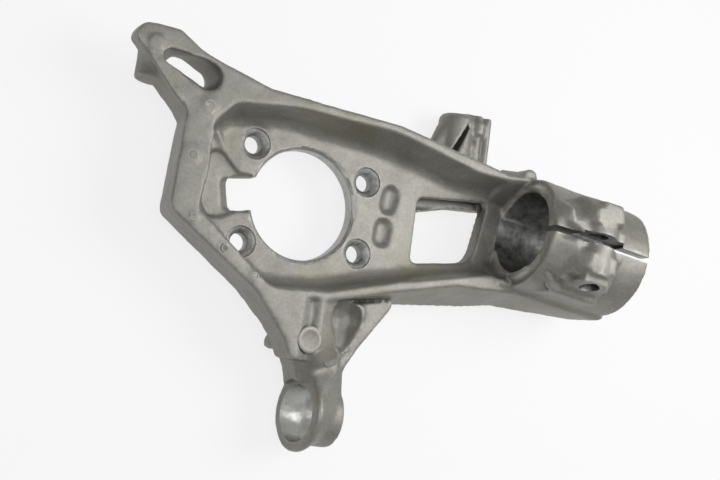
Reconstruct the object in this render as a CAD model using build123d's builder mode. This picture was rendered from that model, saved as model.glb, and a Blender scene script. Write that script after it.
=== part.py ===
from build123d import *
import os
from math import cos, radians, sin

# Steering knuckle: one aluminium casting, machined at the bearing seat, the
# strut clamp, the ball joint eye and the bolt seats.  Millimetres and degrees.
# Origin: centre of the hub bore on the outboard bearing face.  +Z points
# inboard along the hub axis, +X towards the strut clamp.

# ---- bearing seat ----
hub_bore_r = 34.3
hub_chamfer = 2.2
flange_t = 11.0            # bearing face to the floor of the dish
bearing_face_r = 54.5
relief_groove_w = 2.0      # groove that ends the machined ring
relief_groove_depth = 1.2
bearing_face_h = 2.5       # the machined ring stands proud of the cast back
back_wall = 6.0            # edge left standing round the recessed back
bolt_circle_r = 47.4
bolt_hole_r = 5.5
bolt_cone_r = 8.9
spotface_r = 12.0
spotface_depth = 1.2
arm_side_bolt_angle = 39.3     # either side of -X
clamp_side_bolt_angle = 29.1   # either side of +X
sensor_slot_w = 20.0
sensor_slot_reach = 47.5
sensor_slot_turn = 12.0
sensor_trough_r = 8.0      # rounded step down to the slot
sensor_trough_depth = 5.5

# ---- dish ----
rim_h = 33.0               # front edge of the rim above the bearing face
floor_fillet_r = 9.0
floor_step = 2.2           # the floor drops beside the sensor slot
dimple_w = 13.5
dimple_depth = 3.0

# ---- strut clamp ----
clamp_mouth = (148.0, 9.5, 36.0)
clamp_yaw = 6.0            # turn of the strut axis towards -Y
clamp_rise = 3.0           # rise of the strut axis towards +Z
clamp_bore_r = 27.5
clamp_wall = 9.5
clamp_length = 76.0
clamp_chamfer = 2.0
mouth_relief_r = 32.0
mouth_relief = 7.0
slit_w = 4.0
slit_lens_w = 7.5          # wider stretch of the slit between the ears
pinch_bolt_r = 6.5
pinch_bolt_along = 33.0    # from the mouth
pinch_bolt_up = 37.0       # from the strut axis
pinch_boss_r = 11.5
pinch_groove = 1.6         # depth of the grooves that divide the bosses
ear_length = 37.0
ear_top = 42.0             # from the strut axis
ear_strip = 10.0           # full height beside the slit
ear_shoulder = 33.0        # height outside the strip
lower_ear_reach = 29.0     # from the middle of the slit to the bolt seat
upper_ear_reach = 25.0
ledge_reach = 37.0         # cast ledge left under the bolt seat
ledge_top = 24.0
far_relief_r = 33.0

# ---- ball joint eye ----
eye_centre = (14.5, -125.5, 11.0)
eye_dip = 8.0
eye_bore_r = 17.5
eye_bore_depth = 19.0
eye_wall = 8.0
eye_length = 24.0
eye_end_r = 15.5
eye_end_shift = 5.0        # the far end is nearer the arm
eye_stud_r = 9.0
eye_seat_r = 19.5          # clearance cut in front of the bore

arm_low_z = 19.5           # front of the steering arm beside its pocket
arm_slope_end = 24.0       # X where its front has fallen that low
arm_pocket_depth = 9.0

ejector_marks = [          # X, Y and radius of the round marks on the rim's front
    (-76.3, 40.0, 5.0), (-82.8, 10.3, 5.6), (-75.3, -24.3, 2.8), (-34.2, -51.2, 2.4),
]
mark_h = 0.6
back_pocket_depth = 8.0    # beside the strut bore, under the skirt
arm_back_depth = 4.0       # behind the steering arm

# ---- ball joint arm, upper left ----
arm_boss = (-105.5, 14.0)  # X and Z of its boss
arm_boss_r = 11.5
arm_boss_front = 50.0      # Y of its free end
arm_head_z = 20.0          # underside of the head
arm_wall_z = 8.0           # outboard edge of the arm

# ---- caliper lug ----
lug_x = (101.5, 135.5)
lug_z = (-19.0, 11.0)
lug_top = 86.5
lug_boss = (111.0, -3.0)   # X and Z of the round boss at its hub side
lug_boss_r = 12.5
lug_step = 5.0             # the rest of the lug lies back by this
lug_hole = (121.0, 72.0)
lug_hole_r = 5.1
lug_hole_depth = 19.0

os.makedirs("parts", exist_ok=True)

clamp_r = clamp_bore_r + clamp_wall
strut_axis = Vector(
    cos(radians(clamp_yaw)) * cos(radians(clamp_rise)),
    -sin(radians(clamp_yaw)) * cos(radians(clamp_rise)),
    sin(radians(clamp_rise)),
)
across_clamp = Vector(sin(radians(clamp_yaw)), cos(radians(clamp_yaw)), 0)
clamp_plane = Plane(origin=clamp_mouth, x_dir=across_clamp, z_dir=strut_axis)
pinch_centre = clamp_plane.from_local_coords(Vector(0, pinch_bolt_up, pinch_bolt_along))
pinch_plane = Plane(origin=pinch_centre, x_dir=strut_axis, z_dir=across_clamp)
eye_axis = Vector(cos(radians(eye_dip)), 0, -sin(radians(eye_dip)))
eye_plane = Plane(origin=eye_centre, x_dir=(0, 1, 0), z_dir=eye_axis)
eye_r = eye_bore_r + eye_wall


def outline(corners):
    """Closed polygon of (x, y, corner radius) rows, each corner rounded."""
    with BuildSketch() as shape:
        with BuildLine():
            Polyline([(x, y) for x, y, _ in corners], close=True)
        make_face()
        for x, y, radius in corners:
            if radius:
                fillet(shape.vertices().sort_by_distance((x, y))[0], radius)
    return shape.sketch


# ---- dish: rim wall round the hub, up to the mouth of the clamp ----
rim_front = [
    (-90, -22, 8), (-89, 40, 6), (-66, 63, 12), (-38, 59.6, 80),
    (50, 59, 60), (128, 47.5, 20), (152, 46, 0), (152, -27.5, 0),
    (128, -27.5, 20), (66, -43.7, 60), (19, -57, 20), (-31, -59.5, 6),
]
rim_back = [
    (-86.5, -21.5, 8), (-84, 40, 6), (-62, 58, 12), (-38, 58, 80),
    (50, 57.5, 60), (128, 47, 20), (152, 46, 0), (152, -38.5, 0),
    (128, -43, 20), (84, -49, 60), (19, -57, 20), (-31.5, -58, 6),
]
with BuildPart() as dish:
    with BuildSketch(Plane.XY):
        add(outline(rim_back))
    with BuildSketch(Plane.XY.offset(rim_h)):
        add(outline(rim_front))
    loft(ruled=True)

pocket_front = [
    (-73, -19, 6), (-70, 8, 40), (-72.5, 30, 12), (-60, 46, 12),
    (-21, 52.5, 60), (48, 54, 60), (112, 42, 30), (153, 42, 0),
    (153, -24, 0), (128, -22.3, 20), (62, -38.2, 60), (15, -52, 40),
    (-22, -55.5, 14),
]
pocket_floor = [
    (-71, -18, 6), (-68, 8, 40), (-69, 27, 12), (-55, 40, 12),
    (-21, 46, 60), (48, 43, 60), (108, 34, 30), (153, 35, 0),
    (153, -20, 0), (128, -18, 20), (62, -34, 60), (15, -48, 40),
    (-20, -52, 14),
]
with BuildPart() as pocket:
    with BuildSketch(Plane.XY.offset(flange_t)):
        add(outline(pocket_floor))
    with BuildSketch(Plane.XY.offset(rim_h)):
        add(outline(pocket_front))
    loft(ruled=True)
    fillet(pocket.faces().sort_by(Axis.Z)[0].edges(), floor_fillet_r)

# ---- ball joint arm: slotted plate with a head, and a boss along Y ----
arm_outline = [
    (-126, 69, 5), (-121, 78, 8), (-99, 79, 8), (-85, 70.3, 40),
    (-62, 64.5, 80), (-38, 59.4, 0), (-42, 30, 0), (-86, 30, 0),
    (-91, 36.5, 4), (-116.5, 60.5, 5),
]
with BuildPart() as ball_joint_arm:
    with BuildSketch(Plane.XY.offset(arm_wall_z)):
        add(outline(arm_outline))
    extrude(amount=rim_h - arm_wall_z)
    with BuildSketch(Plane.XY):
        with Locations((-125, 70)):
            Rectangle(18, 40)
    extrude(amount=arm_head_z, mode=Mode.SUBTRACT)
    with BuildSketch(Plane.XZ.offset(-74)):
        with Locations(arm_boss):
            Circle(arm_boss_r)
    extrude(amount=74 - arm_boss_front)
    with BuildSketch(Plane.XY.offset(rim_h)):
        with Locations((-112.5, 67)):
            Circle(4.2)
    extrude(amount=1.2)

with BuildPart() as arm_slot:
    with BuildSketch(Plane.XY.offset(-1)):
        with Locations((-102, 62)):
            Circle(4.2)
        with Locations((-82, 57)):
            Circle(7)
        make_hull()
    with BuildSketch(Plane.XY.offset(rim_h + 1)):
        with Locations((-103.5, 61.5)):
            Circle(4.6)
        with Locations((-79, 56.5)):
            Circle(8)
        make_hull()
    loft(ruled=True)

# ---- steering arm below the hub, with its eye for the ball joint ----
arm_band = [
    (-31, -59.3, 0), (-9.1, -84.5, 10), (-4.4, -94.5, 3), (12, -95, 6),
    (31, -88, 8), (60, -52, 6), (50, -40, 0), (-20, -50, 0),
]
arm_web = [
    (-31.5, -58, 0), (-8.5, -79, 10), (5, -97, 20), (9, -112, 6),
    (36, -114, 8), (38.5, -97, 20), (47.5, -81.5, 60), (68.5, -51.5, 6),
    (60, -40, 0), (0, -45, 0),
]
with BuildPart() as steering_arm:
    with BuildSketch(Plane.XY):
        add(outline(arm_web))
    extrude(amount=arm_low_z)
    with BuildSketch(Plane.XY.offset(arm_low_z / 2)):
        add(outline(arm_band))
    extrude(amount=rim_h - arm_low_z / 2)
    # the front face falls away from the rim towards the clamp's side
    with BuildSketch(Plane.XZ):
        with BuildLine():
            Polyline(
                (0, rim_h), (arm_slope_end / 2, rim_h - 5), (arm_slope_end, arm_low_z), (100, arm_low_z),
                (100, rim_h + 5), (0, rim_h + 5), close=True,
            )
        make_face()
    extrude(amount=150, mode=Mode.SUBTRACT)
    # raised oval pad and round boss of the mould's ejectors
    with BuildSketch(Plane.XY.offset(arm_low_z - 4)):
        with Locations(Location((10, -83.5), 35)):
            Ellipse(9.5, 8)
    extrude(amount=rim_h - arm_low_z)
    with BuildSketch(Plane.XY.offset(arm_low_z - 6)):
        with Locations((26.4, -91)):
            Circle(7)
    extrude(amount=8.5)
    # drip of metal on the outboard edge
    with BuildSketch(Plane.XY):
        with Locations((-4.5, -85.5)):
            Circle(4.5)
    extrude(amount=8)

with BuildPart() as arm_pocket:
    with BuildSketch(Plane.XY.offset(arm_low_z - arm_pocket_depth)):
        with Locations((34, -65)):
            Circle(4.5)
        with Locations((35, -79)):
            Circle(2)
        make_hull()
    with BuildSketch(Plane.XY.offset(arm_low_z + 1)):
        with Locations((34, -66)):
            Circle(12.5)
        with Locations((35.5, -84)):
            Circle(6.5)
        make_hull()
    loft(ruled=True)

with BuildPart() as eye:
    with BuildSketch(eye_plane):
        Circle(eye_r)
    with BuildSketch(eye_plane.offset(eye_length)):
        with Locations((eye_end_shift, 0)):
            Circle(eye_end_r)
    loft(ruled=True)
    fillet(eye.edges().filter_by(GeomType.CIRCLE), 2.5)

# ---- caliper lug, on the outboard side above the window ----
lug_back = lug_x[1] - lug_boss[0]
with BuildPart() as caliper_lug:
    with BuildSketch(Plane.XZ.offset(-30)):
        with Locations(lug_boss):
            Circle(lug_boss_r)
    extrude(amount=30 - lug_top)
    fillet(caliper_lug.faces().sort_by(Axis.Y)[-1].edges(), 4)
    with BuildSketch(Plane.XZ.offset(-30)):
        with Locations(((lug_boss[0] + lug_x[1]) / 2, (lug_z[0] + lug_z[1] - lug_step) / 2)):
            RectangleRounded(lug_back, lug_z[1] - lug_step - lug_z[0], 7)
        # ribs down the face, beside the boss
        for along in (0.5, 0.8):
            with Locations((lug_boss[0] + along * lug_back, lug_z[1] - lug_step)):
                Circle(2.6)
    extrude(amount=28.5 - lug_top)
    with BuildSketch(Plane.XZ.offset(-74)):
        with Locations((lug_boss[0] + 0.5 * lug_back, lug_z[1] - lug_step)):
            Circle(4.5)
    extrude(amount=78 - lug_top)

# ---- strut clamp: tube, ears and the skirt under it ----
skirt_back = [
    (100, -46.5, 0), (152, -38.5, 0), (224, -37, 8), (236, -24, 8), (226, 20, 0),
    (130, 30, 0),
]
skirt_front = [
    (100, -34, 0), (150, -31, 0), (222, -38.5, 8), (236, -24, 8), (226, 20, 0),
    (130, 20, 0),
]
with BuildPart() as skirt:
    with BuildSketch(Plane.XY):
        add(outline(skirt_back))
    with BuildSketch(Plane.XY.offset(rim_h)):
        add(outline(skirt_front))
    loft(ruled=True)

with BuildPart() as strut_clamp:
    with BuildSketch(clamp_plane):
        Circle(clamp_r)
    extrude(amount=clamp_length)
    with BuildSketch(clamp_plane.offset(pinch_bolt_along - ear_length / 2)):
        Rectangle(ledge_reach, ledge_top, align=(Align.MAX, Align.MIN))
        Rectangle(lower_ear_reach, ear_shoulder, align=(Align.MAX, Align.MIN))
        Rectangle(upper_ear_reach, ear_shoulder, align=(Align.MIN, Align.MIN))
        Rectangle(2 * ear_strip, ear_top, align=(Align.CENTER, Align.MIN))
    extrude(amount=ear_length)
    with BuildSketch(pinch_plane.offset(-lower_ear_reach)):
        Circle(pinch_boss_r)
    extrude(amount=lower_ear_reach + upper_ear_reach)
    # grooves across the bosses, beside the strips
    for middle in (-(ear_strip + lower_ear_reach) / 2, ear_strip + 1):
        with BuildSketch(pinch_plane.offset(middle - 1)):
            Circle(pinch_boss_r + 3)
            Circle(pinch_boss_r - pinch_groove, mode=Mode.SUBTRACT)
        extrude(amount=2, mode=Mode.SUBTRACT)
    # spotface of the bolt seat
    with BuildSketch(pinch_plane.offset(-lower_ear_reach)):
        Circle(pinch_boss_r + 1)
    extrude(amount=-12, mode=Mode.SUBTRACT)

with BuildPart() as steering_knuckle:
    add(dish.part)
    add(ball_joint_arm.part)
    add(steering_arm.part)
    add(skirt.part)
    add(pocket.part, mode=Mode.SUBTRACT)
    add(arm_slot.part, mode=Mode.SUBTRACT)
    add(arm_pocket.part, mode=Mode.SUBTRACT)
    add(eye.part)
    add(caliper_lug.part)
    add(strut_clamp.part)
    # hub bore
    with BuildSketch(Plane.XY):
        Circle(hub_bore_r)
    extrude(amount=rim_h, mode=Mode.SUBTRACT)
    with BuildSketch(Plane.XY.offset(flange_t - hub_chamfer)):
        Circle(hub_bore_r)
    with BuildSketch(Plane.XY.offset(flange_t)):
        Circle(hub_bore_r + hub_chamfer)
    loft(mode=Mode.SUBTRACT)
    # slot for the wheel speed sensor, beside the bore
    with BuildSketch(Plane.XY.rotated((0, 0, sensor_slot_turn))):
        with Locations((-sensor_slot_reach / 2, 7)):
            RectangleRounded(sensor_slot_reach, sensor_slot_w, 4)
    extrude(amount=rim_h, mode=Mode.SUBTRACT)
    # window between the bearing seat and the clamp
    with BuildSketch(Plane.XY.offset(-20)):
        add(outline([(80.5, -22, 4), (127, -13.5, 14), (135, 29, 4), (80.5, 21.5, 5)]))
    extrude(amount=45, mode=Mode.SUBTRACT)
    # cast back, recessed between the bearing ring and the outer wall
    with BuildSketch(Plane.XY):
        add(outline(rim_back))
        offset(amount=-back_wall)
        Circle(bearing_face_r, mode=Mode.SUBTRACT)
        with Locations((76, 0)):
            Rectangle(200, 200, align=(Align.MIN, Align.CENTER), mode=Mode.SUBTRACT)
    extrude(amount=bearing_face_h, mode=Mode.SUBTRACT)
    with BuildSketch(Plane.XY):
        Circle(bearing_face_r + relief_groove_w)
        Circle(bearing_face_r, mode=Mode.SUBTRACT)
    extrude(amount=relief_groove_depth, mode=Mode.SUBTRACT)
    # floor step, trough and dimples
    with BuildSketch(Plane.XY.offset(flange_t - floor_step)):
        add(outline([
            (-28, 10, 0), (-45, 10.5, 6), (-56, 20.5, 4), (-64, 22, 4), (-66, -12, 4),
            (-60, -20, 4), (-51, -18, 6), (-42, -12.5, 4), (-28, -12, 0),
        ]))
    extrude(amount=floor_step, mode=Mode.SUBTRACT)
    with Locations(Location((0, 0, 0), (0, 0, sensor_slot_turn))):
        with Locations(
            Location((-sensor_slot_reach + 1, 7, flange_t + sensor_trough_r - sensor_trough_depth), (90, 0, 0))
        ):
            Cylinder(sensor_trough_r, sensor_slot_w - 2, mode=Mode.SUBTRACT)
    for place in (Location((59.5, 15), -8), Location((57.5, -6.5), -4)):
        with BuildSketch(Plane.XY.offset(flange_t)):
            with Locations(place):
                RectangleRounded(dimple_w, dimple_w * 1.4, dimple_w * 0.4)
        with BuildSketch(Plane.XY.offset(flange_t - dimple_depth)):
            with Locations(place):
                RectangleRounded(dimple_w * 0.5, dimple_w, dimple_w * 0.2)
        loft(ruled=True, mode=Mode.SUBTRACT)
    # pockets in the back of the skirt and of the steering arm
    with BuildSketch(Plane.XY):
        add(outline([(150, -33, 5), (213, -31, 5), (213, -16, 5), (150, -13, 5)]))
    extrude(amount=back_pocket_depth, mode=Mode.SUBTRACT)
    with BuildSketch(Plane.XY):
        add(outline([(-8, -66, 5), (54, -60, 5), (40, -78, 20), (31, -95, 5), (15, -95, 5)]))
    extrude(amount=arm_back_depth, mode=Mode.SUBTRACT)
    # ejector marks
    with BuildSketch(Plane.XY.offset(rim_h)):
        for x, y, radius in ejector_marks:
            with Locations((x, y)):
                Circle(radius)
    extrude(amount=mark_h)
    # strut bore with its mouth relief
    with BuildSketch(clamp_plane.offset(-mouth_relief)):
        Circle(mouth_relief_r)
    extrude(amount=mouth_relief, mode=Mode.SUBTRACT)
    with BuildSketch(clamp_plane):
        Circle(clamp_bore_r + clamp_chamfer)
    with BuildSketch(clamp_plane.offset(clamp_chamfer)):
        Circle(clamp_bore_r)
    loft(mode=Mode.SUBTRACT)
    with BuildSketch(clamp_plane):
        Circle(clamp_bore_r)
    extrude(amount=clamp_length, mode=Mode.SUBTRACT)
    with BuildSketch(clamp_plane.offset(clamp_length)):
        Circle(far_relief_r)
    extrude(amount=30, mode=Mode.SUBTRACT)
    # slit, wider between the ears
    with BuildSketch(clamp_plane.offset(-mouth_relief)):
        Rectangle(slit_w, 80, align=(Align.CENTER, Align.MIN))
    extrude(amount=clamp_length + 20, mode=Mode.SUBTRACT)
    with BuildSketch(clamp_plane.offset(pinch_bolt_along - ear_length / 2 + 3)):
        Rectangle(slit_lens_w, 80, align=(Align.CENTER, Align.MIN))
    extrude(amount=ear_length - 3, mode=Mode.SUBTRACT)
    # pinch bolt hole across the ears
    with BuildSketch(pinch_plane.offset(-lower_ear_reach - 10)):
        Circle(pinch_bolt_r)
    extrude(amount=lower_ear_reach + upper_ear_reach + 20, mode=Mode.SUBTRACT)
    # ball joint eye
    with BuildSketch(eye_plane):
        Circle(eye_bore_r)
    extrude(amount=eye_bore_depth, mode=Mode.SUBTRACT)
    with BuildSketch(eye_plane):
        Circle(eye_seat_r)
    extrude(amount=-25, mode=Mode.SUBTRACT)
    with BuildSketch(eye_plane):
        Circle(eye_stud_r)
    extrude(amount=eye_length + 5, mode=Mode.SUBTRACT)
    # rib behind the window's upper edge, which carries the caliper lug
    with BuildSketch(Plane.XY.offset(-12)):
        add(outline([(84, 13, 6), (112, 21.5, 60), (141, 25, 0), (141, 42, 0), (72, 46, 0), (72, 26, 6)]))
    extrude(amount=17)
    # threaded hole of the caliper lug
    with BuildSketch(Plane.XY.offset(lug_z[0])):
        with Locations(lug_hole):
            Circle(lug_hole_r)
    extrude(amount=lug_hole_depth, mode=Mode.SUBTRACT)
    # boss on top of the clamp's mouth
    with BuildSketch(Plane.XY.offset(14)):
        with Locations((151.5, 48)):
            Circle(5.5)
    extrude(amount=20)
    # bearing bolt holes from the floor side
    for angle in (
        180 - arm_side_bolt_angle, 180 + arm_side_bolt_angle,
        clamp_side_bolt_angle, -clamp_side_bolt_angle,
    ):
        with Locations(
            Location((
                bolt_circle_r * cos(radians(angle)),
                bolt_circle_r * sin(radians(angle)),
                flange_t - spotface_depth,
            ))
        ):
            CounterSinkHole(radius=bolt_hole_r, counter_sink_radius=bolt_cone_r, depth=flange_t)
            with Locations((0, 0, 8)):
                Cylinder(spotface_r, 16, mode=Mode.SUBTRACT)

steering_knuckle.part.label = "steering_knuckle"
export_step(steering_knuckle.part, "parts/steering_knuckle.step")
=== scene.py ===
import math

import bmesh
import bpy
from mathutils import Matrix, Vector


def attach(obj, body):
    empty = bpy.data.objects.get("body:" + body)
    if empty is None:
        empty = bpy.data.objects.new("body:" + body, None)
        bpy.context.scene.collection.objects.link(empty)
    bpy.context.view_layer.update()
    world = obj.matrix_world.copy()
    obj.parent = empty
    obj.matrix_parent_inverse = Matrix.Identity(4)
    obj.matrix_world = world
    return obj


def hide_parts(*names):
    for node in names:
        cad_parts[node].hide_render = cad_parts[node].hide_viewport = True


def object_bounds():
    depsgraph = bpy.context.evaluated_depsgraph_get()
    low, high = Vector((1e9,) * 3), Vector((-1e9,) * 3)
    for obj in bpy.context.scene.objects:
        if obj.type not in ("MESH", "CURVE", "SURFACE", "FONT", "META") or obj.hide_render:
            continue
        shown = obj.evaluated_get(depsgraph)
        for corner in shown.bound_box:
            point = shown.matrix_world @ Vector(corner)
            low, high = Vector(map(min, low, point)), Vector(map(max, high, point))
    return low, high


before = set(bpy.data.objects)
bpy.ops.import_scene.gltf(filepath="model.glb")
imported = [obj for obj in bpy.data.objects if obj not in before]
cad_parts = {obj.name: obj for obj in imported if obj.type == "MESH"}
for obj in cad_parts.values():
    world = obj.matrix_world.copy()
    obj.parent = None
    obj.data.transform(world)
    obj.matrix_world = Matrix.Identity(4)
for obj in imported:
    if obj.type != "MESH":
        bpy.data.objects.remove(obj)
cad_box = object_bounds()
scene = bpy.context.scene


# ---- Camera ----
# Stands at the ball joint arm's side, above the knuckle's inboard face, and
# looks down on it with a normal lens.
camera_data = bpy.data.cameras.new("camera")
camera_data.sensor_width = 36.0
camera_data.lens = 52.975
camera_data.clip_start = 0.01
camera_data.clip_end = 50
camera = bpy.data.objects.new("camera", camera_data)
scene.collection.objects.link(camera)
camera.location = (-0.263415, -0.111545, 0.596102)
camera.rotation_euler = [math.radians(degrees) for degrees in (4.2653, -28.4321, 8.7842)]
scene.camera = camera


# ---- Studio ----
# A sheet of white paper under the casting, a softbox over the clamp, a weaker
# one over the camera and a dim white room all round.
def linear(code):
    channels = [int(code[i:i + 2], 16) / 255 for i in (1, 3, 5)]
    return [c / 12.92 if c <= 0.04045 else ((c + 0.055) / 1.055) ** 2.4 for c in channels] + [1.0]


def add_node(tree, kind, settings=None, links=None):
    made = tree.nodes.new(kind)
    for key, value in (settings or {}).items():
        if isinstance(key, str) and hasattr(made, key):
            setattr(made, key, value)
        else:
            made.inputs[key].default_value = value
    for key, source in (links or {}).items():
        tree.links.new(source, made.inputs[key])
    return made


def new_material(name):
    material = bpy.data.materials.new(name)
    material.use_nodes = True
    material.node_tree.nodes.clear()
    return material, material.node_tree


room_light = 0.30
world = bpy.data.worlds.new("room")
scene.world = world
world.use_nodes = True
world.node_tree.nodes["Background"].inputs["Color"].default_value = (1, 1, 1, 1)
world.node_tree.nodes["Background"].inputs["Strength"].default_value = room_light

sheet_half_width = 3.0
gap_under_casting = 0.0003
work = bmesh.new()
bmesh.ops.create_grid(work, x_segments=2, y_segments=2, size=sheet_half_width)
bmesh.ops.translate(work, vec=(0, 0, cad_box[0][2] - gap_under_casting), verts=work.verts)
floor_mesh = bpy.data.meshes.new("floor")
work.to_mesh(floor_mesh)
work.free()
floor = bpy.data.objects.new("floor", floor_mesh)
scene.collection.objects.link(floor)

# uncoated white paper, evenly lit: the glow stands for light from all round and
# is seen only directly or in a reflection, so that the shadows stay on the sheet
paper, tree = new_material("white_paper")
glow_share = 0.8
ray = add_node(tree, "ShaderNodeLightPath")
seen = add_node(
    tree, "ShaderNodeMath", {"operation": "MAXIMUM"},
    {0: ray.outputs["Is Camera Ray"], 1: ray.outputs["Is Glossy Ray"]},
)
seen = add_node(
    tree, "ShaderNodeMath", {"operation": "MAXIMUM"},
    {0: seen.outputs[0], 1: ray.outputs["Is Transmission Ray"]},
)
seen = add_node(tree, "ShaderNodeMath", {"operation": "MULTIPLY", 1: glow_share}, {0: seen.outputs[0]})
sheet = add_node(tree, "ShaderNodeBsdfDiffuse", {"Color": linear("#e6e6e6")})
glow = add_node(tree, "ShaderNodeEmission", {"Color": (1, 1, 1, 1), "Strength": 1.0})
blend = add_node(
    tree, "ShaderNodeMixShader", None, {0: seen.outputs[0], 1: sheet.outputs[0], 2: glow.outputs[0]},
)
add_node(tree, "ShaderNodeOutputMaterial", None, {0: blend.outputs[0]})
floor_mesh.materials.append(paper)

# each lamp's name, place, width and watts; both point at the middle of the casting
dish_middle = Vector((0.04, -0.02, 0))
softboxes = (
    ("softbox_over_clamp", (0.46, 0.10, 0.64), 0.45, 3.8),
    ("softbox_over_camera", (-0.25, -0.05, 1.05), 0.50, 2.6),
)
for name, place, width, watts in softboxes:
    lamp_data = bpy.data.lights.new(name, "AREA")
    lamp_data.shape = "SQUARE"
    lamp_data.size = width
    lamp_data.energy = watts
    lamp = bpy.data.objects.new(name, lamp_data)
    lamp.location = place
    lamp.rotation_euler = (dish_middle - lamp.location).to_track_quat("-Z", "Y").to_euler()
    scene.collection.objects.link(lamp)


# ---- Raw casting ----
# One permanent mould casting in aluminium-silicon alloy, as it leaves the mould
# and the trimming: solid where its holes will be machined.
def local_frame(origin, x_axis, z_axis):
    z = Vector(z_axis).normalized()
    x = (Vector(x_axis) - z * Vector(x_axis).dot(z)).normalized()
    placed = Matrix((x, z.cross(x), z)).transposed().to_4x4()
    placed.translation = Vector(origin)
    return placed


def add_cylinder(work, place, radius, low, high, segments=96):
    bmesh.ops.create_cone(
        work, cap_ends=True, segments=segments, radius1=radius, radius2=radius,
        depth=high - low, matrix=place @ Matrix.Translation((0, 0, (low + high) / 2)),
    )


def add_box(work, place, low, high):
    middle = [(a + b) / 2 for a, b in zip(low, high)]
    size = [b - a for a, b in zip(low, high)]
    placed = place @ Matrix.Translation(middle)
    bmesh.ops.create_cube(work, size=1.0, matrix=placed @ Matrix.Diagonal(size + [1]))


def to_object(work, name):
    mesh = bpy.data.meshes.new(name)
    work.to_mesh(mesh)
    work.free()
    made = bpy.data.objects.new(name, mesh)
    scene.collection.objects.link(made)
    return made


def apply_modifier(piece, kind, **settings):
    modifier = piece.modifiers.new(kind.lower(), kind)
    for key, value in settings.items():
        setattr(modifier, key, value)
    with bpy.context.temp_override(object=piece, active_object=piece, selected_objects=[piece]):
        bpy.ops.object.modifier_apply(modifier=modifier.name)


# the machined places' sizes; each bore and hole is given by its radius
hub_bore = 0.0343
hub_floor = 0.011
bearing_ring = 0.0545
bolt_circle = 0.0474
spot_face = 0.0126
strut_bore = 0.0275
clamp_length = 0.076
slit_width = 0.004
lens_width = 0.0075
pinch_hole = 0.0065
pinch_height = 0.037
pinch_distance = 0.033
eye_bore = 0.0175
eye_length = 0.024
lug_hole = 0.0051
lug_hole_depth = 0.019

# their places: z runs down each bore, and the clamp's y runs out between its ears
clamp_yaw = math.radians(6)
clamp_rise = math.radians(3)
eye_dip = math.radians(8)
strut_axis = Vector((
    math.cos(clamp_yaw) * math.cos(clamp_rise),
    -math.sin(clamp_yaw) * math.cos(clamp_rise),
    math.sin(clamp_rise),
))
across_clamp = Vector((math.sin(clamp_yaw), math.cos(clamp_yaw), 0))
hub = Matrix.Identity(4)
clamp = local_frame((0.148, 0.0095, 0.036), across_clamp, strut_axis)
pinch = local_frame(clamp @ Vector((0, pinch_height, pinch_distance)), strut_axis, across_clamp)
eye = local_frame((0.0145, -0.1255, 0.011), (0, 1, 0), (math.cos(eye_dip), 0, -math.sin(eye_dip)))
lug = Matrix.Translation((0.121, 0.072, -0.019))
bolts = []
for degrees in (180 - 39.3, 180 + 39.3, 29.1, -29.1):
    angle = math.radians(degrees)
    bolts.append(Matrix.Translation((bolt_circle * math.cos(angle), bolt_circle * math.sin(angle), 0)))

# the CAD solid, with each hole plugged to just short of the surfaces round it
work = bmesh.new()
work.from_mesh(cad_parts["steering_knuckle"].data)
bmesh.ops.remove_doubles(work, verts=work.verts, dist=1e-6)
add_cylinder(work, hub, hub_bore + 0.002, 0.0002, hub_floor - 0.0004)
add_cylinder(work, hub, bearing_ring + 0.0018, -0.0008, 0.0014)
for bolt in bolts:
    add_cylinder(work, bolt, spot_face, 0.0002, hub_floor - 0.0001, 48)
add_cylinder(work, clamp, strut_bore + 0.0015, 0.0004, clamp_length - 0.0005)
for half_width, low, high, start, end in (
    (slit_width / 2 + 0.0005, 0.027, 0.0369, 0.0003, clamp_length - 0.0003),
    (lens_width / 2 + 0.00045, 0.030, 0.0419, 0.019, 0.0513),
):
    add_box(work, clamp, (-half_width, low, start), (half_width, high, end))
add_cylinder(work, pinch, pinch_hole + 0.0049, -0.0045, 0.0045)
add_cylinder(work, pinch, pinch_hole + 0.0007, -0.0288, 0.0248, 48)
add_cylinder(work, eye, eye_bore + 0.0015, 0.0004, eye_length - 0.0004, 64)
add_cylinder(work, lug, lug_hole + 0.0005, 0.0002, lug_hole_depth, 32)


# ---- Cast details ----
# What the mould adds to the plain forms: pads and ramps of the clamp's ears, the
# lip of its mouth, and lumps and ridges left by mould joints and ejectors. Each
# is a skin stretched over a few balls, given by x, y, z and radius in millimetres.
mm = Matrix.Scale(0.001, 4)


def add_hull(work, place, balls):
    hull = bmesh.new()
    for x, y, z, radius in balls:
        bmesh.ops.create_icosphere(
            hull, subdivisions=2, radius=radius, matrix=Matrix.Translation((x, y, z)),
        )
    bmesh.ops.delete(hull, geom=hull.edges[:], context="EDGES_FACES")
    made = bmesh.ops.convex_hull(hull, input=hull.verts)
    inside = [part for part in made["geom_interior"] if isinstance(part, bmesh.types.BMVert)]
    bmesh.ops.delete(hull, geom=inside)
    bmesh.ops.recalc_face_normals(hull, faces=hull.faces)
    bmesh.ops.transform(hull, matrix=place @ mm, verts=hull.verts)
    mesh = bpy.data.meshes.new("hull")
    hull.to_mesh(mesh)
    hull.free()
    work.from_mesh(mesh)
    bpy.data.meshes.remove(mesh)


def ring_of_balls(x, y, z, radius, ball, count):
    turns = [2 * math.pi * step / count for step in range(count)]
    return [(x + radius * math.cos(turn), y + radius * math.sin(turn), z, ball) for turn in turns]


def add_bead(work, place, path, radius):
    for start, end in zip(path, path[1:]):
        add_hull(work, place, [(*start, radius), (*end, radius)])


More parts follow.
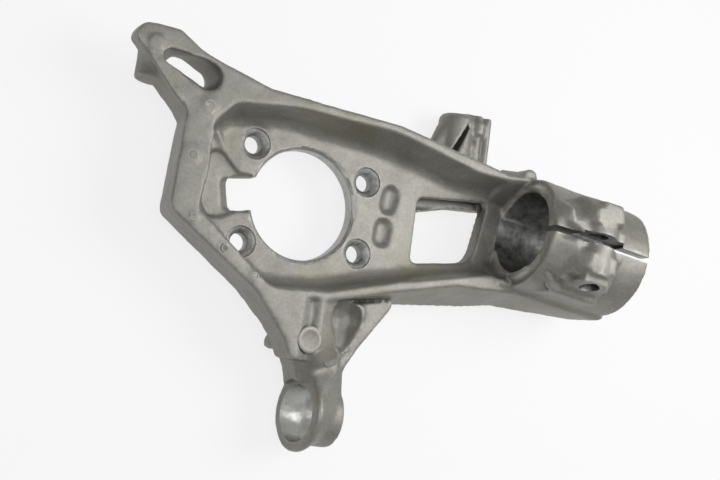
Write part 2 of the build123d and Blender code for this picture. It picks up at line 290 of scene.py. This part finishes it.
# clamp: the ramps up to its two ears, one on either side of the slit
add_hull(work, clamp, [
    (-6, 33, 2, 3.5), (-6, 38.5, 15, 3.5), (-6, 38.5, 49, 3.5),
    (-18, 28, 2, 3.5), (-25, 30, 15, 3.5), (-25, 30, 47, 3.5),
])
add_hull(work, clamp, [
    (6, 33, 2, 3.5), (6, 38.5, 15, 3.5), (6, 38.5, 49, 3.5),
    (17, 29, 2, 3.5), (21, 31.5, 13, 3.5), (21, 31, 47, 3.5),
])
# clamp: the pad of the ear at the caliper lug's side, and the lump before it
add_hull(work, clamp, [
    (11, 46.2, 25, 2.2), (15.5, 46.2, 42, 2.2), (17.5, 45.8, 23, 2.2), (23.5, 45.0, 40, 2.2),
    (9, 38, 18, 3), (24, 35, 16, 3), (25, 34, 45, 3), (14, 38, 47, 3),
])
add_hull(work, clamp, [(6.5, 40.4, 10, 2), (14, 39, 8, 2.5), (8, 34, 3, 3), (17, 32, 3, 3)])
# clamp: the other ear's pad, the step below it and the ledge below that
add_hull(work, clamp, [
    (-11, 45.6, 25, 2.2), (-11, 45.6, 42, 2.2), (-19, 45.0, 24, 2.2), (-19, 45.0, 43, 2.2),
    (-10, 36, 14, 3), (-22, 33, 14, 3), (-21, 34, 47, 3), (-10, 36, 48, 3),
])
add_hull(work, clamp, [
    (-23, 39.6, 26, 2.5), (-23, 39.6, 45, 2.5), (-28, 38.6, 27, 2.2), (-28, 38.6, 44, 2.2),
    (-22, 28, 20, 3), (-29, 27, 22, 3), (-29, 27, 46, 3), (-22, 28, 49, 3),
])
add_hull(work, clamp, [
    (-34, 23, 12, 1.8), (-35, 23, 46, 1.8), (-31, 23.5, 50, 2),
    (-27, 24, 8, 3), (-26, 24, 50, 3), (-28, 20, 46, 2),
])

# clamp's mouth: the dish's floor and both its walls run on to it
add_box(work, hub, (0.134, -0.020, 0.0005), (0.150, 0.038, hub_floor - 0.0002))
add_hull(work, hub, [
    (136, 40, 14, 3), (150, 40, 14, 3), (136, 42, 30, 2),
    (150, 42.5, 30, 2), (136, 31, 8, 3), (150, 31, 8, 3),
])
add_hull(work, hub, [
    (136, -23, 14, 3), (150, -22, 14, 3), (136, -26, 30, 2),
    (150, -26, 30, 2), (136, -13, 8, 3), (150, -13, 8, 3),
])
# clamp's mouth: the lip most of the way round it, and two lumps on the wall beside it
lip_radius = 30.0
lip = []
for degrees in range(150, 391, 15):
    angle = math.radians(degrees)
    lip.append((lip_radius * math.cos(angle), lip_radius * math.sin(angle), -1.4))
add_bead(work, clamp, lip, 2.3)
add_hull(work, hub, [
    (151, 46, 32, 2.5), (158, 44, 31, 2.5), (151, 51, 29, 2),
    (158, 49, 28, 2), (150, 44, 20, 3), (158, 44, 20, 3),
])
add_hull(work, hub, [(130, 44, 31, 2), (149, 45, 33, 2), (132, 48, 28, 2), (149, 49, 30, 2)])

# caliper lug: the flare at its root, the swelling at its end, two ribs and a lump
add_hull(work, hub, [(100, 50, -2, 4), (104, 74, -3, 8), (92, 58, -3, 3)])
add_hull(work, hub, [
    (123, 83, -2, 5), (132, 82, -3, 5.5), (131, 75, -3, 5), (130, 80, -10, 6), (120, 82, 4, 3),
])
add_bead(work, hub, [(128, 48, 5.5), (130, 62, 5.5), (131, 76, 4)], 2.2)
add_bead(work, hub, [(121, 48, 5.5), (121, 66, 6.5)], 2.0)
add_hull(work, hub, [(118, 74, 4, 4), (121, 77, 4, 4)])

# the clamp's flank runs smoothly into the skirt below it
add_bead(work, hub, [(138, -25.5, 31.5), (170, -28.4, 33.5), (196, -31, 34), (221, -34.6, 33.5)], 3.3)

# steering arm: the eye's collar swells into the arm's neck
add_hull(work, eye, [
    *ring_of_balls(0, 0, 1.5, 22.4, 1.5, 40), *ring_of_balls(33, -1.3, 1.5, 8, 1.5, 16),
    *ring_of_balls(4, 0, 21.5, 13.5, 2, 32), *ring_of_balls(33, 1.5, 21.5, 8, 1.5, 16),
])
# steering arm: its face falls from the rim to the neck and carries a round boss
add_hull(work, hub, [
    (12, -59, 28.9, 4), (32, -58, 19, 4), (50, -58, 16, 3.5),
    (12, -89, 28.9, 4), (24, -92, 19.5, 4), (42, -78, 15.5, 4),
    (10, -98, 18, 4), (16, -106, 14, 4), (33, -97, 13, 4),
    (10, -60, 5, 3), (40, -60, 5, 3), (14, -100, 5, 3), (32, -90, 5, 3),
])
add_cylinder(work, Matrix.Translation((0.0262, -0.090, 0)), 0.0072, 0.005, 0.0222, 48)
# steering arm: a hump on its neck and the flash beside that
add_hull(work, hub, [(33, -121, 19, 6), (34, -127, 16, 6), (30, -112, 17, 6)])
add_bead(work, hub, [(34, -131, 20), (36.5, -128, 19), (37.5, -123, 19)], 1.0)

# a short rib between the bearing ring and the ball joint arm
add_bead(work, hub, [(-62, 30.5, 12.4), (-57.8, 24.2, 10.4)], 1.6)

# ball joint arm: its slot is closed here and cut again below
add_hull(work, hub, [(-103, 61.7, 31, 5), (-102.5, 62, 12, 4.6), (-79, 56.5, 24, 8.2), (-81, 57, 16, 7.4)])
# ball joint arm: its domed head, the ridges by its edge and slot, and the rim's bead
add_hull(work, hub, [(-117, 71, 29, 4), (-104, 74, 29.5, 3.5), (-113, 63, 29, 4), (-118, 70, 25, 5)])
add_bead(work, hub, [(-114, 60.5, 31.8), (-103, 48.5, 31.8), (-93, 39, 31.6)], 1.9)
add_bead(work, hub, [(-108.6, 66.5, 32.6), (-109.2, 62, 32.6), (-105, 57.6, 32.6), (-92, 51.4, 32.6)], 1.0)
add_bead(work, hub, [(-71.8, 26, 31.8), (-72.6, 8, 31.8), (-73.6, -14, 31.8)], 1.5)

# one closed skin over all of it
skin_grid = 0.0009
casting = to_object(work, "casting")
apply_modifier(casting, "REMESH", mode="VOXEL", voxel_size=skin_grid)


def cut(piece, work, materials=(), operation="DIFFERENCE"):
    bmesh.ops.remove_doubles(work, verts=work.verts, dist=1e-6)
    bmesh.ops.recalc_face_normals(work, faces=work.faces)
    tool = to_object(work, "tool")
    for material in materials:
        tool.data.materials.append(material)
    apply_modifier(
        piece, "BOOLEAN", operation=operation, object=tool,
        solver="MANIFOLD", material_mode="TRANSFER",
    )
    bpy.data.objects.remove(tool)


hollows = (
    # the steering arm's bowl, and the narrow groove along the rim beside it
    (hub, [(34, -66, 26, 14.0), (34, -80, 24, 7.5)]),
    (hub, [
        (24, -56.4, 28, 1.0), (24, -56.4, 22, 1.0), (44, -52.8, 26, 1.2),
        (44, -52.8, 18, 1.2), (66, -48.8, 24, 0.9), (66, -48.8, 18.5, 0.9),
    ]),
    # the ball joint arm's slot
    (hub, [(-103.5, 61.5, 35, 4.4), (-79, 56.5, 38, 8), (-92.5, 65.5, 2, 4.0), (-80.5, 59, 2, 4.8)]),
    # two dimples beside the bolts
    (hub, [(60, 20, 13.5, 6.0), (58.5, 10.5, 13.5, 6.0)]),
    (hub, [(57.8, -2, 13.5, 6.0), (56.8, -11, 13.5, 6.0)]),
    # the crevice in the caliper lug
    (hub, [
        (116, 84, 12, 0.8), (113, 76, 12, 1.0), (105, 58, 13, 2.2),
        (105, 58, 2, 1.6), (113, 76, 4, 0.8),
    ]),
    # the recess behind the window's edge, on the caliper lug's side
    (hub, [(84, 17, 3.5, 2.6), (86, 26, 3.0, 3.0), (131, 31, 3.0, 3.0), (133, 25, 3.5, 2.6)]),
    # the step of one of the clamp's ears, and a flat over the other
    (clamp, [
        (-24.5, 46, 16, 1.5), (-24.5, 46, 54, 1.5), (-38, 43.8, 16, 1.5), (-38, 43.8, 54, 1.5),
        (-24.5, 60, 16, 1.5), (-24.5, 60, 54, 1.5), (-38, 60, 16, 1.5), (-38, 60, 54, 1.5),
    ]),
    (clamp, [(8, 52, 20, 4.5), (8, 52, 60, 4.5), (30, 52, 20, 4.5), (30, 52, 60, 4.5)]),
)
for place, balls in hollows:
    work = bmesh.new()
    add_hull(work, place, balls)
    cut(casting, work)
apply_modifier(casting, "REMESH", mode="VOXEL", voxel_size=skin_grid)
apply_modifier(casting, "SMOOTH", factor=0.5, iterations=10)


# Large fillets: more smoothing in the middle of a ball and less towards its skin.
def soften(piece, centre, reach, iterations):
    group = piece.vertex_groups.new(name="soft")
    for vertex in piece.data.vertices:
        nearness = 1 - (vertex.co - centre).length / reach
        if nearness > 0:
            group.add([vertex.index], min(1.0, 2.5 * nearness), "REPLACE")
    apply_modifier(piece, "SMOOTH", factor=0.5, iterations=iterations, vertex_group="soft")
    piece.vertex_groups.clear()


soften(casting, clamp @ Vector((0.012, 0.040, 0.010)), 0.018, 30)
soften(casting, clamp @ Vector((-0.014, 0.036, 0.012)), 0.015, 16)
soften(casting, Vector((0.018, -0.106, 0.022)), 0.018, 30)

# the mould's skin: long low waves, lying mostly inside the plain form
wave_length = 0.01
wave_height = 0.0007
unevenness = bpy.data.textures.new("mould_skin", "CLOUDS")
unevenness.noise_scale = wave_length
unevenness.noise_depth = 2
apply_modifier(
    casting, "DISPLACE", texture=unevenness, texture_coords="LOCAL",
    direction="NORMAL", strength=wave_height, mid_level=0.62,
)
# the even grid has far more triangles than the shape needs
apply_modifier(casting, "DECIMATE", ratio=0.30)


def turned(work, place, profile, slot_index, segments=96):
    known = set(work.faces)
    points = [work.verts.new(place @ Vector((radius, 0, z))) for radius, z in profile]
    lines = [work.edges.new(pair) for pair in zip(points, points[1:])]
    bmesh.ops.spin(
        work, geom=points + lines, cent=place.translation, axis=place.to_3x3() @ Vector((0, 0, 1)),
        angle=2 * math.pi, steps=segments, use_merge=True,
    )
    for face in work.faces:
        if face not in known:
            face.material_index = slot_index


# ejector marks: raised rings with a shallow pit, each with its place and radius in
# millimetres and the way it faces; the last one tops the steering arm's boss
level = (0, 0, 1)
marks = (
    ((-111.8, 65.6, 32.9), 2.8, level),
    ((-76.0, 39.9, 32.9), 3.6, level),
    ((-81.8, 9.7, 32.9), 3.6, level),
    ((-75.6, -24.6, 32.9), 2.4, level),
    ((-54.4, -38.7, 32.9), 2.2, level),
    ((-33.6, -50.9, 32.9), 2.2, level),
    ((7, -82, 32.3), 8.0, (0.06, 0, 1)),
    ((26.5, -90, 24.0), 6.4, (0.35, -0.25, 0.9)),
)
mark_root = -4
mark_pit = 0.3
mark_top = 0.75
for (x, y, z), radius, facing in marks:
    work = bmesh.new()
    turned(work, local_frame((x / 1000, y / 1000, z / 1000), (1, 0, 0), facing) @ mm, [
        (0, mark_root), (radius, mark_root), (radius, mark_pit), (0.90 * radius, mark_top),
        (0.72 * radius, mark_top), (0.58 * radius, mark_pit), (0, mark_pit),
    ], 0, 40)
    cut(casting, work, operation="UNION")

# the uneven skin keeps within the solid's own box
for vertex in casting.data.vertices:
    vertex.co = [min(max(at, low), high) for at, low, high in zip(vertex.co, *cad_box)]


# ---- Skin of the casting ----
# Shot blasted cast aluminium: an even matt grey oxide skin over the metal, pale
# where edges have been rubbed, with painted shade darkening its corners and hollows,
# and faint storage stains. Sizes of its patterns are in millimetres.
cast, tree = new_material("shot_blasted_cast_aluminium")
position = add_node(tree, "ShaderNodeTexCoord").outputs["Object"]
blotch_size = 22.2
blotch = add_node(
    tree, "ShaderNodeTexNoise",
    {"Scale": 1000 / blotch_size, "Detail": 4.0, "Roughness": 0.6}, {"Vector": position},
)
tone = add_node(tree, "ShaderNodeValToRGB", None, {0: blotch.outputs["Fac"]})
tone.color_ramp.elements[0].position = 0.30
tone.color_ramp.elements[0].color = linear("#7e7c76")
tone.color_ramp.elements[1].position = 0.72
tone.color_ramp.elements[1].color = linear("#94928b")
speck_size = 1.92
speck = add_node(
    tree, "ShaderNodeTexNoise",
    {"Scale": 1000 / speck_size, "Detail": 3.0, "Roughness": 0.65}, {"Vector": position},
)
fleck = add_node(tree, "ShaderNodeValToRGB", None, {0: speck.outputs["Fac"]})
fleck.color_ramp.elements[0].position = 0.32
fleck.color_ramp.elements[0].color = linear("#6d6c67")
fleck.color_ramp.elements[1].position = 0.70
fleck.color_ramp.elements[1].color = linear("#a9a79f")
fleck_share = 0.25
skin = add_node(
    tree, "ShaderNodeMix", {"data_type": "RGBA", 0: fleck_share},
    {6: tone.outputs[0], 7: fleck.outputs[0]},
)

# edges rubbed pale by handling
edge = add_node(tree, "ShaderNodeNewGeometry").outputs["Pointiness"]
rubbed = add_node(
    tree, "ShaderNodeMapRange", {"From Min": 0.515, "From Max": 0.56, "To Max": 0.5}, {"Value": edge},
)
skin = add_node(
    tree, "ShaderNodeMix", {"data_type": "RGBA", 7: linear("#bdbbb4")},
    {0: rubbed.outputs[0], 6: skin.outputs[2]},
)

# the mouth's lip, scuffed by the strut: pale specks near the ring it follows
into_clamp = clamp.inverted()
from_mouth = add_node(
    tree, "ShaderNodeMapping",
    {"Location": into_clamp.translation, "Rotation": into_clamp.to_euler()}, {"Vector": position},
)
along_bore = add_node(tree, "ShaderNodeSeparateXYZ", None, {0: from_mouth.outputs[0]}).outputs[2]
across_bore = add_node(
    tree, "ShaderNodeVectorMath", {"operation": "MULTIPLY", 1: (1, 1, 0)}, {0: from_mouth.outputs[0]},
)
off_axis = add_node(tree, "ShaderNodeVectorMath", {"operation": "LENGTH"}, {0: across_bore.outputs[0]})
off_ring = add_node(
    tree, "ShaderNodeMath", {"operation": "SUBTRACT", 1: strut_bore + 0.0021},
    {0: off_axis.outputs["Value"]},
)
off_lip = add_node(tree, "ShaderNodeCombineXYZ", None, {0: off_ring.outputs[0], 1: along_bore})
off_lip = add_node(tree, "ShaderNodeVectorMath", {"operation": "LENGTH"}, {0: off_lip.outputs[0]})
scuffed = add_node(
    tree, "ShaderNodeMapRange", {"From Min": 0.0050, "From Max": 0.0020}, {"Value": off_lip.outputs["Value"]},
)
scuffed = add_node(
    tree, "ShaderNodeMath", {"operation": "MULTIPLY"}, {0: scuffed.outputs[0], 1: speck.outputs["Fac"]},
)
skin = add_node(
    tree, "ShaderNodeMix", {"data_type": "RGBA", 7: linear("#d2d0c8")},
    {0: scuffed.outputs[0], 6: skin.outputs[2]},
)

# painted shade: darker in sharp hollow corners and, spread wider, in whatever lies deep
corner = add_node(
    tree, "ShaderNodeMapRange", {"From Min": 0.49, "From Max": 0.44, "To Max": 0.6}, {"Value": edge},
)
skin = add_node(
    tree, "ShaderNodeMix", {"data_type": "RGBA", 7: linear("#4c4a45")},
    {0: corner.outputs[0], 6: skin.outputs[2]},
)
nook_width = 7
nook = add_node(
    tree, "ShaderNodeAmbientOcclusion", {"samples": 8, "only_local": True, "Distance": nook_width / 1000},
)
# painted shade, darker the more the surface round a point is hidden
deep_shade = add_node(
    tree, "ShaderNodeMapRange",
    {"From Min": 0.85, "From Max": 0.35, "To Max": 0.6}, {"Value": nook.outputs["AO"]},
)
skin = add_node(
    tree, "ShaderNodeMix", {"data_type": "RGBA", 7: linear("#3a3833")},
    {0: deep_shade.outputs[0], 6: skin.outputs[2]},
)

# stains from wet storage
stain_size = 62.5
spread = add_node(
    tree, "ShaderNodeTexNoise",
    {"Scale": 1000 / stain_size, "Detail": 3.0, "Roughness": 0.55}, {"Vector": position},
)
stain = add_node(
    tree, "ShaderNodeMapRange",
    {"From Min": 0.58, "From Max": 0.72, "To Max": 0.45}, {"Value": spread.outputs["Fac"]},
)
skin = add_node(
    tree, "ShaderNodeMix", {"data_type": "RGBA", 7: linear("#7f7c60")},
    {0: stain.outputs[0], 6: skin.outputs[2]},
)

# dents of the shot, which are a few tenths across and drawn coarser, so that they show
dent_size = 1.11
dent_depth = 0.4
dents = add_node(
    tree, "ShaderNodeTexNoise",
    {"Scale": 1000 / dent_size, "Detail": 4.0, "Roughness": 0.7}, {"Vector": position},
)
bump = add_node(
    tree, "ShaderNodeBump", {"Strength": 0.25, "Distance": dent_depth / 1000},
    {"Height": dents.outputs["Fac"]},
)
shader = add_node(
    tree, "ShaderNodeBsdfPrincipled", {"Metallic": 0.50, "Roughness": 0.50},
    {"Base Color": skin.outputs[2], "Normal": bump.outputs[0]},
)
add_node(tree, "ShaderNodeOutputMaterial", None, {0: shader.outputs[0]})
casting.data.materials.clear()
casting.data.materials.append(cast)


# ---- Machining ----
# Bores, bolt seats, the bearing ring and the saw slit are cut into the casting
# on a machining centre. The tools leave bright metal with turning rings, whose
# pitch is drawn coarser than the tool's feed, so that they show.
def machined(name, place, colour, roughness, pitch, wear_depth):
    material, tree = new_material(name)
    coordinates = add_node(tree, "ShaderNodeTexCoord").outputs["Object"]
    into_bore = place.inverted()
    mapping = add_node(
        tree, "ShaderNodeMapping",
        {"Location": into_bore.translation, "Rotation": into_bore.to_euler()},
        {"Vector": coordinates},
    )
    rings = add_node(
        tree, "ShaderNodeTexWave",
        {
            "wave_type": "BANDS", "bands_direction": "Z", "Scale": 1000 * math.pi / (10 * pitch),
            "Distortion": 1.5, "Detail": 2.0, "Detail Scale": 2.0,
        },
        {"Vector": mapping.outputs[0]},
    )
    wear_size = 6.25
    wear = add_node(
        tree, "ShaderNodeTexNoise",
        {"Scale": 1000 / wear_size, "Detail": 5.0, "Roughness": 0.7}, {"Vector": mapping.outputs[0]},
    )
    gloss = add_node(
        tree, "ShaderNodeMapRange",
        {"To Min": roughness - 0.10, "To Max": roughness + 0.16}, {"Value": wear.outputs["Fac"]},
    )
    worn = add_node(
        tree, "ShaderNodeMapRange",
        {"From Min": 0.35, "From Max": 0.65, "To Min": 1 - wear_depth, "To Max": 1.1},
        {"Value": wear.outputs["Fac"]},
    )
    tint = add_node(
        tree, "ShaderNodeVectorMath", {"operation": "SCALE", 0: linear(colour)[:3]},
        {"Scale": worn.outputs[0]},
    )
    ring_depth = 0.2
    bump = add_node(
        tree, "ShaderNodeBump", {"Strength": 0.45, "Distance": ring_depth / 1000},
        {"Height": rings.outputs["Fac"]},
    )
    shader = add_node(
        tree, "ShaderNodeBsdfPrincipled", {"Metallic": 1.0},
        {"Base Color": tint.outputs[0], "Roughness": gloss.outputs[0], "Normal": bump.outputs[0]},
    )
    add_node(tree, "ShaderNodeOutputMaterial", None, {0: shader.outputs[0]})
    return material


# bare aluminium: turned round the hub, pressed dull under the bolts' heads,
# scratched by the strut in the clamp and still bright in the eye
hub_metal = machined("turned_hub_seat", hub, "#b4b4b1", 0.36, 0.6, 0.25)
seat_metal = machined("spotfaced_bolt_seat", hub, "#a8a8a5", 0.42, 0.4, 0.5)
strut_metal = machined("bored_clamp", clamp, "#a2a29f", 0.36, 0.8, 0.6)
eye_metal = machined("bored_eye", eye, "#ececea", 0.20, 0.8, 0.04)

# hub seat and bearing ring, strut bore, eye: each tool's outline by radius and height
eye_bore_depth = 0.019
stud_hole = 0.009
work = bmesh.new()
turned(work, hub, [
    (0, -0.006), (bearing_ring + 0.002, -0.006), (bearing_ring + 0.002, 0.0012),
    (bearing_ring, 0.0012), (bearing_ring, 0), (hub_bore + 0.0006, 0), (hub_bore, 0.0006),
    (hub_bore, hub_floor - 0.0022), (hub_bore + 0.0022, hub_floor),
    (hub_bore + 0.0052, hub_floor + 0.003), (0, hub_floor + 0.003),
], 0, 128)
turned(work, clamp, [
    (0, -0.004), (strut_bore, -0.004), (strut_bore, clamp_length - 0.0015),
    (strut_bore + 0.001, clamp_length), (strut_bore + 0.001, clamp_length + 0.002),
    (0, clamp_length + 0.002),
], 1)
turned(work, eye, [
    (0, -0.025), (eye_bore, -0.025), (eye_bore, eye_bore_depth),
    (stud_hole, eye_bore_depth), (stud_hole, eye_length + 0.002), (0, eye_length + 0.002),
], 2)
cut(casting, work, [hub_metal, strut_metal, eye_metal])

# bolt holes with their cones and seats, and the caliper lug's hole
bolt_hole = 0.0055
bolt_cone = 0.0086
bolt_seat = 0.0097
seat_height = 0.0098
work = bmesh.new()
for bolt in bolts:
    turned(work, bolt, [
        (0, -0.01), (bolt_hole, -0.01), (bolt_hole, seat_height - 0.0034),
        (bolt_cone, seat_height - 0.0003), (bolt_seat, seat_height), (bolt_seat + 0.0001, 0.018), (0, 0.018),
    ], 0, 48)
turned(work, lug, [
    (0, -0.01), (lug_hole, -0.01), (lug_hole, lug_hole_depth), (0, lug_hole_depth + 0.0025),
], 1, 32)
cut(casting, work, [seat_metal, hub_metal])

# the pinch bolt's hole through both ears
work = bmesh.new()
turned(work, pinch, [(0, -0.045), (pinch_hole, -0.045), (pinch_hole, 0.030), (0, 0.030)], 0, 48)
cut(casting, work, [strut_metal])

# the saw slit, and the lens that widens it between the ears
for half_width, low, start, end in (
    (slit_width / 2, 0.020, -0.010, clamp_length + 0.009),
    (lens_width / 2, 0.028, 0.0185, 0.0535),
):
    work = bmesh.new()
    add_box(work, clamp, (-half_width, low, start), (half_width, 0.060, end))
    cut(casting, work, [strut_metal])

# the sensor's slot keeps the casting's skin, as it comes from the mould
slot_reach = 0.0475
slot_width = 0.02
slot = Matrix.Rotation(math.radians(12), 4, "Z") @ Matrix.Translation((-slot_reach / 2, 0.007, 0))
work = bmesh.new()
add_box(work, slot, (-slot_reach / 2, -slot_width / 2, -0.010), (0.02, slot_width / 2, 0.030))
cut(casting, work, [cast])

casting.data.shade_smooth()
casting.data.set_sharp_from_angle(angle=math.radians(38))
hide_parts("steering_knuckle")
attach(casting, "root")


scene.view_settings.view_transform = "Standard"
